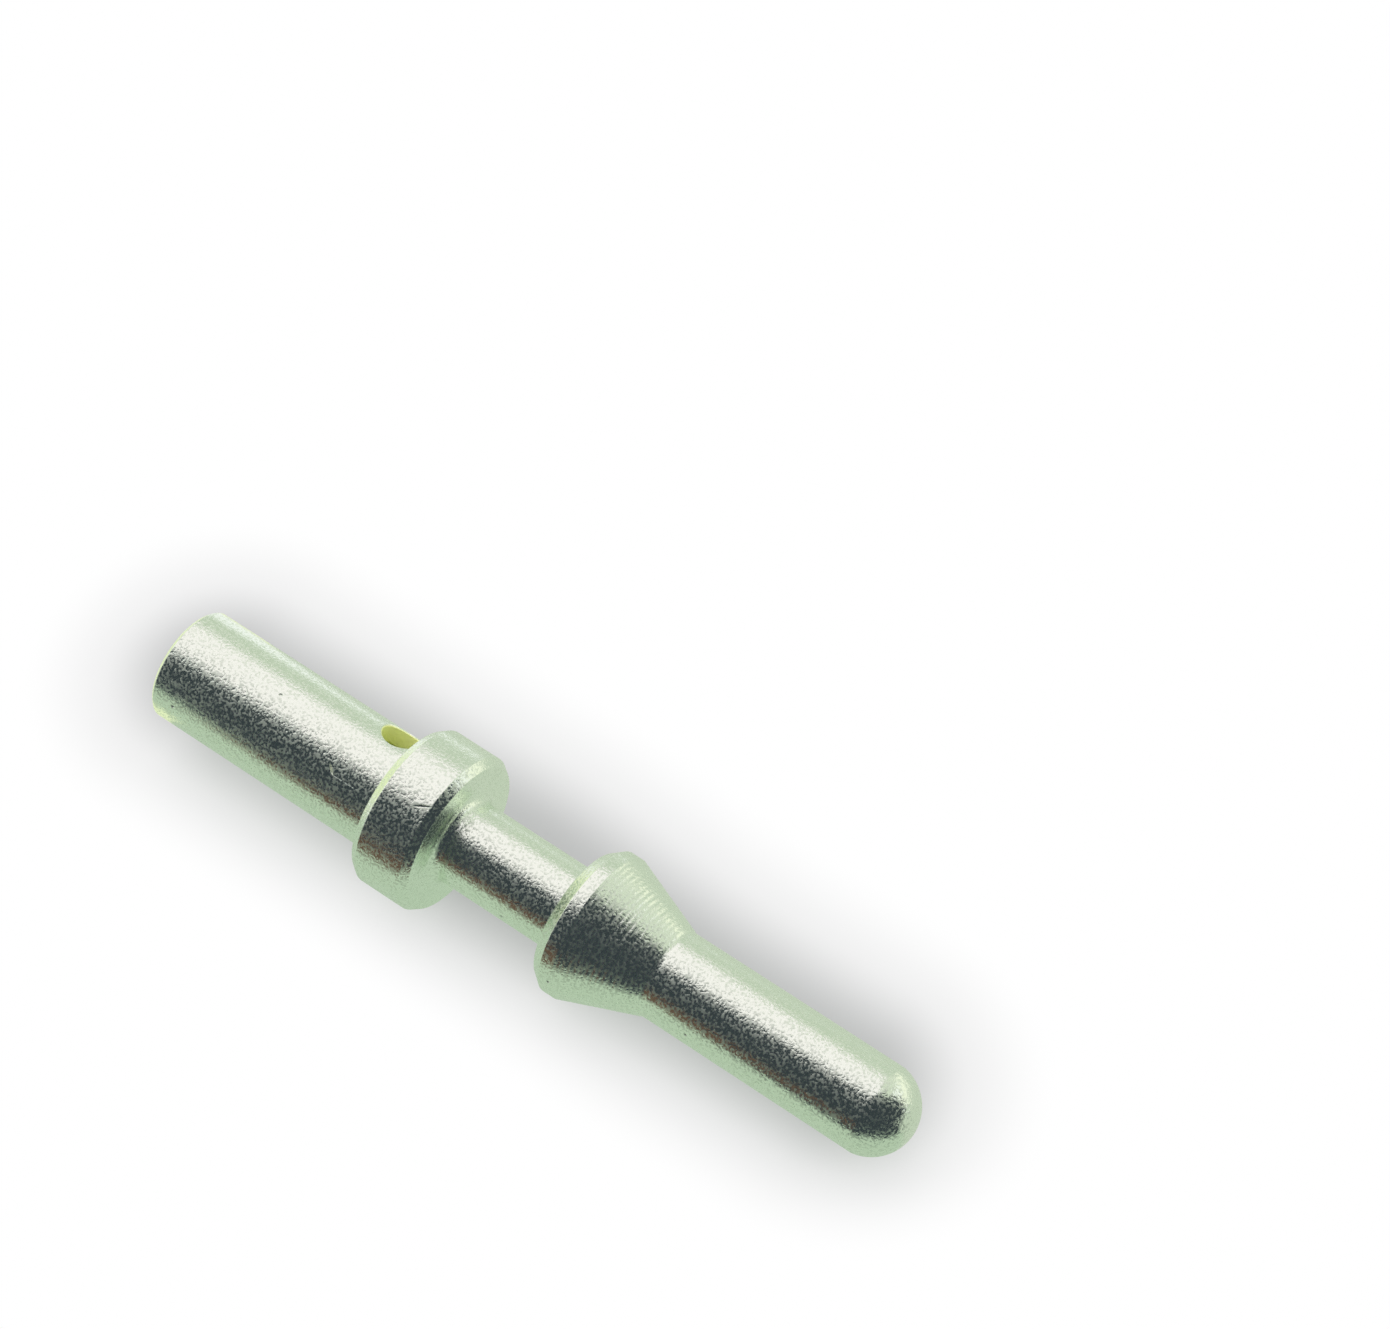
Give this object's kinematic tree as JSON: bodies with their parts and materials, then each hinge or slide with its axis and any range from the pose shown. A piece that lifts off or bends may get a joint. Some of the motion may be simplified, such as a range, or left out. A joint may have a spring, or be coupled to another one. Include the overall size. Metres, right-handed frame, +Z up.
{
  "type": "crimp pin contact",
  "caption": "Turned silver-plated pin contact with a crimp barrel, sight hole, collar, retention neck and cone.",
  "frame": {"origin": "on the surface that the contact lies on, under the middle of its length", "axes": "+X along the contact towards the nose of the pin, which dips by 2.4 degrees because the contact lies on its collar and on its smaller cone; +Z up"},
  "size_m": [0.0235, 0.0046, 0.0047],
  "materials": {
    "silver_plate": "satin silver plating on turned brass, with a fine even grain"
  },
  "bodies": {
    "root": {"pin_contact": "silver_plate"}
  },
  "joints": []
}
